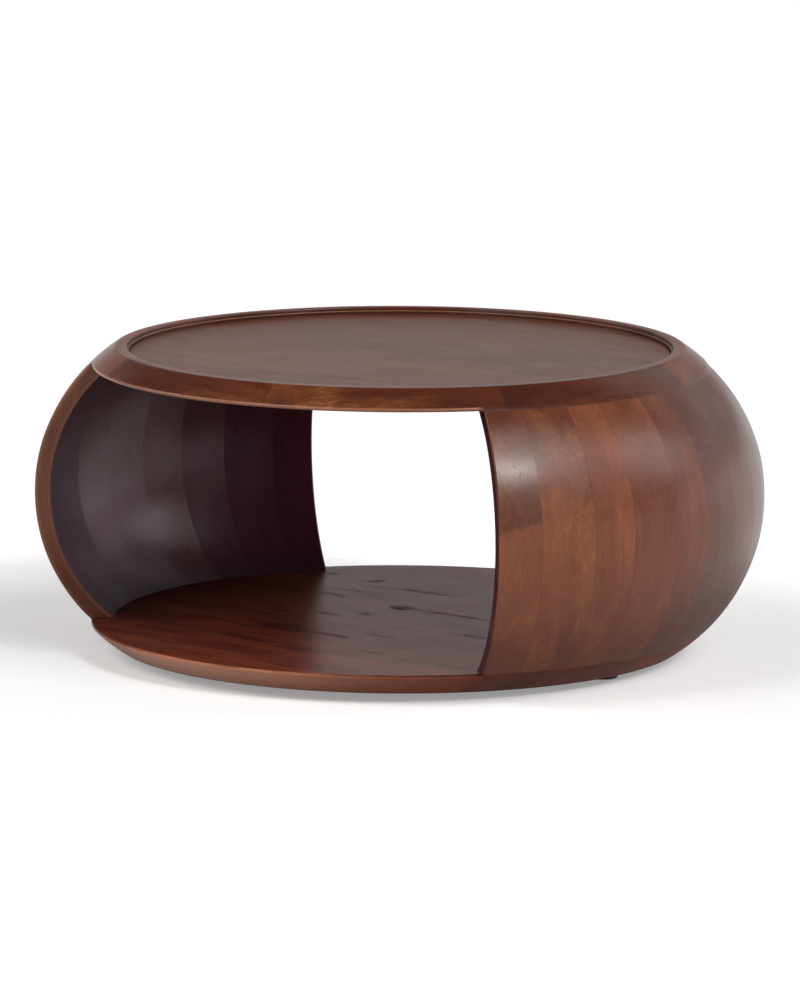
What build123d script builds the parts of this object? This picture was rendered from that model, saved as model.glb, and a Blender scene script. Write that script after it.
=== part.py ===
from build123d import *
import os
from math import atan2, cos, radians, sin, sqrt

# Low round drum table in solid wood. The origin is on the floor under the middle of the table,
# +Z is up, the open compartment runs along Y and the two curved walls stand at +X and -X.
# All sizes are in millimetres and all angles in degrees, measured from +X towards +Y.

os.makedirs("parts", exist_ok=True)

# Overall form: the outside is an arc that bulges out from its two ends to the widest middle.
table_diameter = 900.0
body_height = 368.0
bulge_depth = 100.0

# Base disc
base_thickness = 27.0
base_arris = 2.0
base_board_shares = (104, 118, 96, 124, 108, 98, 120)

# Walls of edge-glued staves, listed anticlockwise seen from above, each by its share of the wall
wall_thickness = 20.0
wall_sweep = 75.0
right_stave_shares = (6.9, 9.1, 7.4, 9.7, 7.5, 8.6, 9.1, 7.0, 9.7)
left_stave_shares = (7.0, 9.4, 8.8, 9.0, 9.8, 10.2, 10.4, 10.4)
wall_end_round = 2.0

# Top: a rim of sawn segments with a stepped rebate that carries a lapped panel of boards
rim_flat_width = 14.0
rim_segment_count = 8
rim_first_joint = 11.8
shoulder_round = 4.0
rim_inner_round = 1.5
rim_edge_round = 2.0
recess_depth = 8.0
step_drop = 4.0
step_width = 2.5
lap_width = 25.0
lap_thickness = 6.0
panel_edge_thickness = 11.0
panel_gap = 0.8
top_board_shares = (88, 101, 79, 108, 92, 84, 110)

# Feet and their screws
foot_diameter = 38.0
foot_height = 10.0
foot_round = 1.5
wall_foot_inset = 40.0
opening_foot_inset = 100.0
screw_diameter = 4.0
screw_head_diameter = 8.5
screw_head_height = 2.8
screw_grip = 15.0
screw_slot_width = 1.2
screw_slot_depth = 1.2
screw_hole_clearance = 0.2
screw_pocket_clearance = 0.8
screw_pocket_depth = 5.0

# Dowels
dowel_diameter = 8.0
wall_dowel_length = 34.0
board_dowel_length = 50.0
rim_dowel_length = 40.0
dowel_clearance = 0.05
dowel_end_gap = 1.0
board_dowel_places = (-0.62, -0.22, 0.22, 0.62)
rim_dowel_inset = 12.0

base_bottom = foot_height
base_top = base_bottom + base_thickness
mid_height = base_bottom + body_height / 2
rim_top = base_bottom + body_height
panel_top = rim_top - recess_depth
lap_top = panel_top - panel_edge_thickness
rim_bottom = lap_top - lap_thickness

screw_bore_radius = (screw_diameter + screw_hole_clearance) / 2
standing = (Align.CENTER, Align.CENTER, Align.MIN)

arc_radius = (bulge_depth ** 2 + (body_height / 2) ** 2) / (2 * bulge_depth)
arc_centre = table_diameter / 2 - arc_radius

end_radius = table_diameter / 2 - bulge_depth
rim_inner_radius = end_radius - rim_flat_width
step_radius = rim_inner_radius - step_width
lap_radius = step_radius - lap_width
panel_radius = step_radius - panel_gap
panel_lap_radius = lap_radius - panel_gap


def shell_radius(z, depth=0.0):
    """Distance from the table's axis at height z of the surface lying depth inside the outside."""
    return arc_centre + sqrt((arc_radius - depth) ** 2 - (z - mid_height) ** 2)


def shell_arc(z_start, z_end, depth=0.0):
    """The bulged outline between two heights, as one arc in the plane of the axis."""
    heights = (z_start, (z_start + z_end) / 2, z_end)
    return ThreePointArc(*[(shell_radius(z, depth), z) for z in heights])


def section(lines, rounds=()):
    """Closed section in the XZ plane, with its corners at the given points rounded."""
    face = make_face(lines)
    for point, radius in rounds:
        face = fillet(face.vertices().sort_by_distance((point[0], point[1], 0))[0], radius)
    return Plane.XZ * face


def swept(face, start, end):
    """The section turned about the table's axis from one angle to the other."""
    return Rot(0, 0, start) * revolve(face, Axis.Z, end - start)


def sectors(start, end):
    """The sector from start to end cut at the ends of the walls, as (start, end, is by a wall)."""
    half = wall_sweep / 2
    wall_ends = [middle + half_side for middle in (0, 180, 360) for half_side in (-half, half)]
    cuts = [start] + [angle for angle in wall_ends if start < angle < end] + [end]
    for a, b in zip(cuts, cuts[1:]):
        from_wall_middle = ((a + b) / 2 + 90) % 180 - 90
        yield a, b, abs(from_wall_middle) < half


def joined(pieces):
    """One solid from pieces that meet face to face."""
    whole = pieces[0]
    for piece in pieces[1:]:
        whole = whole + piece
    return whole


def edges_of(shares, start, end):
    """Joint positions from start to end, in proportion to the shares."""
    total = sum(shares)
    return [start + (end - start) * sum(shares[:i]) / total for i in range(len(shares) + 1)]


def boards(disc, joints):
    """The disc as boards that lie along X, parted at the joints, given by their Y."""
    marks = [-table_diameter] + joints + [table_diameter]
    for y_start, y_end in zip(marks, marks[1:]):
        slab = Box(table_diameter, y_end - y_start, 2 * body_height)
        yield disc & Pos(0, (y_start + y_end) / 2, mid_height) * slab


def dowel(length, centre, direction):
    """A plain dowel about its centre, lying along the direction."""
    plane = Plane(origin=centre, z_dir=direction)
    return plane * Cylinder(dowel_diameter / 2, length)


def dowel_hole(length, centre, direction):
    """The drilled hole for a dowel, with its clearance round it and at both ends."""
    plane = Plane(origin=centre, z_dir=direction)
    return plane * Cylinder(dowel_diameter / 2 + dowel_clearance, length + 2 * dowel_end_gap)


def drilled(solid, holes):
    """The solid with every hole cut that reaches its box."""
    box = solid.bounding_box()
    for hole in holes:
        reach = hole.bounding_box()
        if (box.min.X < reach.max.X and reach.min.X < box.max.X
                and box.min.Y < reach.max.Y and reach.min.Y < box.max.Y
                and box.min.Z < reach.max.Z and reach.min.Z < box.max.Z):
            solid = solid - hole
    return solid


def write(node, shape):
    """Save one node, which is one solid or a group of separate ones."""
    export_step(shape, f"parts/{node}.step")


# Dowel places, each a (length, centre, direction) for the dowel and its hole

def wall_dowel_places(joint_height):
    """One dowel in the middle of each stave's end, following the slope of the wall there."""
    radius = shell_radius(joint_height, wall_thickness / 2)
    slope = atan2(mid_height - joint_height, radius - arc_centre)
    places = []
    for side, shares in ((0, right_stave_shares), (180, left_stave_shares)):
        marks = edges_of(shares, side - wall_sweep / 2, side + wall_sweep / 2)
        for a, b in zip(marks, marks[1:]):
            turn = radians((a + b) / 2)
            centre = (radius * cos(turn), radius * sin(turn), joint_height)
            direction = (sin(slope) * cos(turn), sin(slope) * sin(turn), cos(slope))
            places.append((wall_dowel_length, centre, direction))
    return places


def board_dowel_positions(joints, disc_radius, height):
    """Dowels along Y across each joint between the boards of a disc."""
    places = []
    for y in joints:
        half_chord = sqrt(disc_radius ** 2 - y ** 2)
        for share in board_dowel_places:
            places.append((board_dowel_length, (share * half_chord, y, height), (0, 1, 0)))
    return places


def rim_dowel_places():
    """One dowel across each joint between rim segments, level and square to the joint."""
    radius = step_radius + rim_dowel_inset
    places = []
    for i in range(rim_segment_count):
        turn = radians(rim_first_joint + i * 360 / rim_segment_count)
        centre = (radius * cos(turn), radius * sin(turn), (rim_bottom + panel_top) / 2)
        places.append((rim_dowel_length, centre, (-sin(turn), cos(turn), 0)))
    return places


base_joints = edges_of(base_board_shares, -shell_radius(base_top), shell_radius(base_top))[1:-1]
top_joints = edges_of(top_board_shares, -panel_radius, panel_radius)[1:-1]

dowels = {
    "wall_dowels_lower": wall_dowel_places(base_top),
    "wall_dowels_upper": wall_dowel_places(rim_bottom),
    "base_board_dowels": board_dowel_positions(
        base_joints, end_radius, base_bottom + base_thickness / 2),
    "top_board_dowels": board_dowel_positions(
        top_joints, panel_lap_radius, (lap_top + panel_top) / 2),
    "rim_dowels": rim_dowel_places(),
}
holes = {node: [dowel_hole(*place) for place in places] for node, places in dowels.items()}

wall_foot = end_radius - wall_foot_inset
opening_foot = end_radius - opening_foot_inset
foot_places = [(wall_foot, 0), (0, opening_foot), (-wall_foot, 0), (0, -opening_foot)]


# Base: a disc of boards running along X, its upper arris planed off only in the two openings

def base_section(walled):
    edge_top = base_top if walled else base_top - base_arris
    points = [(shell_radius(base_top) - base_top + edge_top, base_top), (0, base_top),
              (0, base_bottom), (end_radius, base_bottom)]
    if not walled:
        points.insert(0, (shell_radius(edge_top), edge_top))
    return section(Polyline(*points) + shell_arc(base_bottom, edge_top))


def make_base_boards():
    disc = joined([swept(base_section(walled), a, b) for a, b, walled in sectors(-90, 270)])
    screw_holes = [Pos(x, y, base_bottom) * Cylinder(
        screw_bore_radius, screw_grip + dowel_end_gap, align=standing) for x, y in foot_places]
    cuts = holes["wall_dowels_lower"] + holes["base_board_dowels"] + screw_holes
    for i, board in enumerate(boards(disc, base_joints)):
        write(f"base_board_{i + 1}", drilled(board, cuts))


# Walls: staves between the base and the rim, the two open ends of each wall softly rounded

def stave_section():
    lines = (shell_arc(base_top, rim_bottom)
             + Line((shell_radius(rim_bottom), rim_bottom),
                    (shell_radius(rim_bottom, wall_thickness), rim_bottom))
             + shell_arc(rim_bottom, base_top, wall_thickness)
             + Line((shell_radius(base_top, wall_thickness), base_top),
                    (shell_radius(base_top), base_top)))
    return section(lines)


def rounded_end(stave, angle):
    """The stave with the two long arrises rounded on the face that lies at the angle."""
    turn = radians(angle)
    across = Vector(-sin(turn), cos(turn), 0)
    on_end = [e for e in stave.edges() if all(abs((e @ t).dot(across)) < 1e-3 for t in (0, 0.5, 1))]
    long_arrises = [e for e in on_end if abs((e @ 0).Z - (e @ 1).Z) > 1]
    return fillet(long_arrises, wall_end_round)


def make_wall(name, side, shares):
    marks = edges_of(shares, side - wall_sweep / 2, side + wall_sweep / 2)
    cuts = holes["wall_dowels_lower"] + holes["wall_dowels_upper"]
    for i, (a, b) in enumerate(zip(marks, marks[1:])):
        stave = swept(stave_section(), a, b)
        if i == 0:
            stave = rounded_end(stave, a)
        if i == len(shares) - 1:
            stave = rounded_end(stave, b)
        write(f"{name}_stave_{i + 1}", drilled(stave, cuts))


# Top: rim segments with a small step above the lap that carries the panel

def rim_section(walled):
    bottom_corner = (shell_radius(rim_bottom), rim_bottom)
    shoulder = (end_radius, rim_top)
    inner_corner = (rim_inner_radius, rim_top)
    inside = [shoulder, inner_corner, (rim_inner_radius, rim_top - step_drop),
              (step_radius, rim_top - step_drop), (step_radius, lap_top), (lap_radius, lap_top),
              (lap_radius, rim_bottom), bottom_corner]
    lines = shell_arc(rim_bottom, rim_top) + Polyline(*inside)
    rounds = [(shoulder, shoulder_round), (inner_corner, rim_inner_round)]
    if not walled:
        rounds.append((bottom_corner, rim_edge_round))
    return section(lines, rounds)


def make_rim():
    cuts = holes["wall_dowels_upper"] + holes["rim_dowels"]
    step = 360 / rim_segment_count
    for i in range(rim_segment_count):
        start = rim_first_joint + i * step
        segment = joined([swept(rim_section(walled), a, b)
                          for a, b, walled in sectors(start, start + step)])
        write(f"rim_segment_{i + 1}", drilled(segment, cuts))


def make_top_boards():
    lines = Polyline((0, rim_bottom), (panel_lap_radius, rim_bottom), (panel_lap_radius, lap_top),
                     (panel_radius, lap_top), (panel_radius, panel_top), (0, panel_top),
                     (0, rim_bottom))
    panel = swept(section(lines), 0, 360)
    for i, board in enumerate(boards(panel, top_joints)):
        write(f"top_board_{i + 1}", drilled(board, holes["top_board_dowels"]))


def make_dowels():
    for node, places in dowels.items():
        write(node, Compound(children=[dowel(*place) for place in places]))


# Feet: moulded glides with a pocket for the screw head

def make_feet():
    pocket_radius = screw_head_diameter / 2 + screw_pocket_clearance
    head_bottom = screw_pocket_depth - screw_head_height
    shank_length = foot_height - screw_pocket_depth + screw_grip
    screws = []
    for i, (x, y) in enumerate(foot_places):
        foot = Cylinder(foot_diameter / 2, foot_height, align=standing)
        foot = fillet(foot.edges().sort_by(Axis.Z)[0], foot_round)
        foot = foot - Cylinder(pocket_radius, screw_pocket_depth, align=standing)
        foot = foot - Cylinder(screw_bore_radius, foot_height, align=standing)
        write(f"foot_{i + 1}", Pos(x, y, 0) * foot)
        head = Pos(0, 0, head_bottom) * Cylinder(
            screw_head_diameter / 2, screw_head_height, align=standing)
        shank = Pos(0, 0, screw_pocket_depth) * Cylinder(
            screw_diameter / 2, shank_length, align=standing)
        slot = Pos(0, 0, head_bottom) * Box(
            screw_head_diameter, screw_slot_width, screw_slot_depth, align=standing)
        screws.append(Pos(x, y, 0) * (head + shank - slot))
    write("foot_screws", Compound(children=screws))


make_base_boards()
make_wall("right", 0, right_stave_shares)
make_wall("left", 180, left_stave_shares)
make_rim()
make_top_boards()
make_dowels()
make_feet()
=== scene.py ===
import math
import bmesh
import bpy
import numpy as np
from mathutils import Matrix, Vector


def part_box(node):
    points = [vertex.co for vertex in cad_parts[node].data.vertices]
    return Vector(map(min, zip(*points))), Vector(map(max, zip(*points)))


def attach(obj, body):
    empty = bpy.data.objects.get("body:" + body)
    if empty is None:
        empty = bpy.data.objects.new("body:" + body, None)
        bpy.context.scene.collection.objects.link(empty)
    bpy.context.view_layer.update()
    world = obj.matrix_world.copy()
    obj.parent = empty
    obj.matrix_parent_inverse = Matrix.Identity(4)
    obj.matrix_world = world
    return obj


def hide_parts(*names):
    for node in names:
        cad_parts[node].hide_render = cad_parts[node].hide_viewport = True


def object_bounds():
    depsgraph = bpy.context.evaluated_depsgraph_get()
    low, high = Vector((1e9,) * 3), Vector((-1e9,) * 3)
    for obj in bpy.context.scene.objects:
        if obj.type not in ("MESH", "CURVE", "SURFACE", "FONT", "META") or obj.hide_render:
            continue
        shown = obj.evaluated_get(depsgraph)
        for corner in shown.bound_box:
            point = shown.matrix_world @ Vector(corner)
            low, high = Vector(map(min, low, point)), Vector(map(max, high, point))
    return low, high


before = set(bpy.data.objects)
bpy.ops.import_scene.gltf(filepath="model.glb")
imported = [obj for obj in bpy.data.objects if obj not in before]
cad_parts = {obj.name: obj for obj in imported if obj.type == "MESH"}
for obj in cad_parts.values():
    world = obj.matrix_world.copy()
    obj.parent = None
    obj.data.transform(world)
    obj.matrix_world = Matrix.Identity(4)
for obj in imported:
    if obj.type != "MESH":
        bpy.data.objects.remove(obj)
cadLow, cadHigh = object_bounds()
print("frame loaded,", len(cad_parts), "nodes")

# Metres, +Z up. The table's axis is the Z axis, the floor is z = 0, and the openings face -Y and +Y.

table = {
    "bulgeDepth": 0.100,       # how far the belly stands out beyond the two ends
    "sandingHills": 0.00022,   # height of the slow hills that hand sanding leaves
    "hillLength": (0.06, 0.17),
    "hillCount": 16,
    "seed": 11,
    "weld": 2e-6,              # points nearer than this become one
    "sliver": 1e-7,            # and edges shorter than this go
    "crease": 38,              # degrees: an edge that turns by more isn't shaded round
    "cornerSteps": 5,          # points along a rounded corner
    "sharpArris": 1e-5,        # of base and rim where a wall hides it
    "arrisFade": 0.004,        # radians, about 1.5 mm, over which it changes at a wall's end
}
random = np.random.default_rng(table["seed"])


# lower and upper end of a node
def heights(node):
    low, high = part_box(node)
    return low.z, high.z


baseBottom, baseTop = heights("base_board_4")
rimBottom, rimTop = heights("rim_segment_1")
panelTop = heights("top_board_4")[1]
tableRadius = (cadHigh.x - cadLow.x) / 2
halfHeight = (rimTop - baseBottom) / 2
midHeight = baseBottom + halfHeight
arcRadius = (table["bulgeDepth"] ** 2 + halfHeight ** 2) / (2 * table["bulgeDepth"])
arcCentre = tableRadius - arcRadius
endRadius = tableRadius - table["bulgeDepth"]


# radius of the bulged outline at height z: a circular arc, followed a given depth inside its surface
def shellRadius(z, depth=0.0):
    return arcCentre + np.sqrt((arcRadius - depth) ** 2 - (z - midHeight) ** 2)


# angle up the arc at which height z is reached, a given depth inside the surface
def shellTurn(z, depth=0.0):
    return np.arcsin((z - midHeight) / (arcRadius - depth))


# all corners of a node's mesh, one row for each
def nodePoints(node):
    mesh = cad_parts[node].data
    flat = np.empty(3 * len(mesh.vertices), np.float32)
    mesh.vertices.foreach_get("co", flat)
    return flat.reshape(-1, 3).astype(float)


# first and last angle about the table's axis that a node reaches, going anticlockwise from above
def nodeSweep(node):
    x, y = nodePoints(node)[:, :2].T
    middle = math.atan2(y.mean(), x.mean())
    turn = (np.arctan2(y, x) - middle + np.pi) % (2 * np.pi) - np.pi
    return middle + turn.min(), middle + turn.max()


# 0 below the first value, 1 above the second, and an S curve between them
def easeBetween(value, first, second):
    step = np.clip((value - first) / (second - first), 0, 1)
    return step ** 2 * (3 - 2 * step)


hillSteps = random.normal(size=(table["hillCount"], 3))
hillSteps *= (2 * np.pi / random.uniform(*table["hillLength"], table["hillCount"])
              / np.linalg.norm(hillSteps, axis=1))[:, None]
hillPhases = random.uniform(0, 2 * np.pi, table["hillCount"])


# slow hills and hollows: a sum of sines of the place in space, so pieces that touch agree
def hills(points):
    waves = np.sin(points @ hillSteps.T + hillPhases)
    return waves.sum(axis=-1) / math.sqrt(table["hillCount"]) * table["sandingHills"]


# the outline with each corner replaced by an arc of its radius, tangent to both sides
def roundedOutline(corners, radii):
    corners = np.array(corners, float)
    outline = []
    for i, (corner, radius) in enumerate(zip(corners, radii)):
        if radius is None:
            outline.append(corner)
            continue
        back = corners[i - 1] - corner
        ahead = corners[(i + 1) % len(corners)] - corner
        back, ahead = back / np.linalg.norm(back), ahead / np.linalg.norm(ahead)
        half = math.acos(np.clip(back @ ahead, -1, 1)) / 2
        toCentre = (back + ahead) / np.linalg.norm(back + ahead)
        side = (back - ahead) / np.linalg.norm(back - ahead)
        turn = np.linspace(-1, 1, table["cornerSteps"])[:, None] * (half - math.pi / 2)
        arc = toCentre / math.sin(half) - toCentre * np.cos(turn) + side * np.sin(turn)
        outline.extend(corner + radius * arc)
    return np.array(outline)


# points round the table's axis: radius times the cosine and sine of the angle, at height z
def turned(radius, angle, z):
    return np.stack(np.broadcast_arrays(radius * np.cos(angle), radius * np.sin(angle), z), axis=-1)


# radius and height of the points of two outlines, from the walled one at share 0 to the open one at 1
def blended(openOutline, walledOutline, share):
    return np.moveaxis(walledOutline + (openOutline - walledOutline) * share[..., None], -1, 0)


# a closed skin over rings of points: each ring is joined to the next, the first and last are capped;
# the values become attributes that the finishes read
def skinOf(name, rings, values, closed=False):
    count, width = rings.shape[:2]
    ring, spot = np.meshgrid(np.arange(count if closed else count - 1), np.arange(width), indexing="ij")
    nextRing, nextSpot = (ring + 1) % count, (spot + 1) % width
    quads = np.stack([ring * width + spot, ring * width + nextSpot,
                      nextRing * width + nextSpot, nextRing * width + spot], axis=-1).reshape(-1, 4)
    faces = quads.tolist()
    if not closed:
        faces.append(np.arange(width)[::-1].tolist())
        faces.append((np.arange(width) + (count - 1) * width).tolist())
    mesh = bpy.data.meshes.new(name)
    mesh.from_pydata(rings.reshape(-1, 3).tolist(), [], faces)
    for key, value in values.items():
        value = np.broadcast_to(value, rings.shape if key == "log" else rings.shape[:2])
        kind, field = ("FLOAT_VECTOR", "vector") if key == "log" else ("FLOAT", "value")
        attribute = mesh.attributes.new(key, kind, "POINT")
        attribute.data.foreach_set(field, value.astype(np.float32).ravel())
    return finishMesh(name, mesh)


# merges doubled points, turns the faces outwards and keeps the creases sharp
def finishMesh(name, mesh):
    work = bmesh.new()
    work.from_mesh(mesh)
    bmesh.ops.remove_doubles(work, verts=work.verts, dist=table["weld"])
    bmesh.ops.dissolve_degenerate(work, edges=work.edges, dist=table["sliver"])
    bmesh.ops.recalc_face_normals(work, faces=work.faces)
    work.to_mesh(mesh)
    work.free()
    mesh.shade_smooth()
    mesh.set_sharp_from_angle(angle=math.radians(table["crease"]))
    piece = bpy.data.objects.new(name, mesh)
    bpy.context.scene.collection.objects.link(piece)
    return piece


sawnLog = {
    "waver": ((0.0026, 9), (0.0013, 23)),   # how far the rings waver, and radians of that per metre
    "perRadian": 0.12,         # metres of pattern round the pith
}


# place in the log a piece was sawn from: along the grain, distance from the pith, angle round the pith
def logPlace(along, across, depth, pith):
    side, rise = across - pith[0], depth - pith[1]
    fromPith = np.hypot(side, rise)
    (slow, slowTurn), (quick, quickTurn) = sawnLog["waver"]
    waver = slow * np.sin(along * slowTurn + pith[2]) + quick * np.sin(along * quickTurn + 2 * pith[2])
    around = np.arctan2(side, rise) * sawnLog["perRadian"]
    return np.stack([along + pith[2], fromPith + waver, around + pith[2]], axis=-1)


# a pith somewhere behind the face, nearer for a wilder figure: place across, depth, place along
def pithBehind(spread, low, high):
    return random.uniform(-spread, spread), -random.uniform(low, high), random.uniform(1, 6)


# how light a piece took the stain: its own value where one is given, else drawn at random
def toneOf(name, values):
    drawn = random.normal() * values["toneSpread"]
    return values.get("tones", {}).get(name, drawn)


# gives a piece its finish and puts it in the part's frame
def place(piece, node, material):
    piece.data.materials.append(material)
    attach(piece, "root")
    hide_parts(node)


# an sRGB hex colour as linear red, green, blue and alpha
def fromHex(code):
    srgb = [int(code[i:i + 2], 16) / 255 for i in (1, 3, 5)]
    return [c / 12.92 if c <= 0.04045 else ((c + 0.055) / 1.055) ** 2.4 for c in srgb] + [1.0]


# adds a node, sets its options and ramp stops, and gives its inputs, by name or in order, values
# or links; a node as a feed stands for its first live output
def addNode(tree, kind, feeds=(), stops=(), **options):
    node = tree.nodes.new("ShaderNode" + kind)
    for option, value in options.items():
        setattr(node, option, value)
    for socket, feed in feeds.items() if isinstance(feeds, dict) else enumerate(feeds):
        if isinstance(feed, bpy.types.Node):
            feed = next(output for output in feed.outputs if output.enabled)
        if isinstance(feed, bpy.types.NodeSocket):
            tree.links.new(feed, node.inputs[socket])
        else:
            node.inputs[socket].default_value = feed
    if stops:
        ramp = node.color_ramp.elements
        while len(ramp) < len(stops):
            ramp.new(0.5)
        for element, (position, code) in zip(ramp, stops):
            element.position = position
            element.color = fromHex(code)
    return node


# an empty material and its node tree
def newMaterial(name):
    material = bpy.data.materials.new(name)
    material.use_nodes = True
    tree = material.node_tree
    tree.nodes.clear()
    return material, tree


wood = {
    # stained mango wood under satin lacquer: long soft fibres, cloudy stain, golden mottled figure
    "ramp": [(0.0, "#240E08"), (0.28, "#471F11"), (0.50, "#65341D"), (0.72, "#80462C"),
             (1.0, "#A56A43")],
    "golden": "#AE6C3C",
    "goldenAmount": 0.36,
    "hollow": "#4C1936",      # painted shade on a wall's hollow side: a dark purple-brown
    "hollowAmount": 0.76,
    "footAndHeadShade": "#1C0A18",    # painted shade along the foot and head of a wall's hollow side
    "streak": "#32120C",
    "streakAmount": 0.18,
    "pore": "#230D09",
    "poreAmount": 0.26,
    "arris": "#CE8B6B",       # where lacquer and stain are rubbed thin, and the painted highlight and painted light of some edges
    "arrisStart": 0.5,
    "glue": "#1E0C08",
    "glueAmount": 1.1,
    "glueReach": (0.0006, 0.0001),   # from a joint, where the dark line ends and is full
    "mark": "#1E0B08",
    "ior": 1.42,
    "roughness": 0.29,
    "fibreRoughness": 0.10,
    "poreRoughness": 0.15,
    "markRoughness": 0.38,
    "dullRoughness": 0.36,    # how much rougher the lacquer is where it is dull
    "bump": 0.10,
    "bumpDistance": 0.0004,
    "poreDepth": 0.5,         # against the height of the fibres
    "markDepth": 0.6,
    # each layer: cells per metre along, out from and round the pith, detail, weight in the tone
    "layers": [
        ((2.4, 66, 9), 2.0, 0.20),       # growth bands, 15 mm
        ((7, 300, 70), 3.0, 0.20),       # finer bands, 3 mm
        ((5, 15, 14), 3.0, 0.34),        # clouds of stain, 70 mm by 200 mm
        ((16, 760, 760), 2.0, 0.21),     # fibres, 1.3 mm wide, coarser than real ones
    ],
    "layerDistortion": 0.2,
    # golden flecks, 17 by 5 mm and 7 by 2 mm: cells per metre, share
    "flecks": [((58, 190, 190), 0.6), ((150, 420, 420), 0.4)],
    "fleckDetail": 2.0,
    "fleckDistortion": 0.8,
    "fleckEnds": (0.45, 0.66),
    "fleckShare": 0.7,        # of the gold, the rest is even
    # each mask: cells per metre, detail, distortion, levels of the noise where it begins and is full
    "patches": ((7, 18, 16), 2.0, 0.5, 0.42, 0.62),     # where the gold shows
    "streaks": ((5, 170, 30), 2.0, 0.4, 0.54, 0.70),
    "pores": ((55, 820, 820), 1.0, 0.0, 0.66, 0.72),    # dashes 1.2 mm wide, coarser than real
    "breaks": ((22, 620, 620), 2.0, 0.6, 0.30, 0.58),   # fibres that break up knots and streaks
    # the outline of a knot: cells per metre that waver it, how far, detail, and where its core ends
    "markCells": (28, 95, 1),
    "markWaver": (0.05, 0.018, 0),
    "markDetail": 3.0,
    "markCore": 0.35,
}


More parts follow.
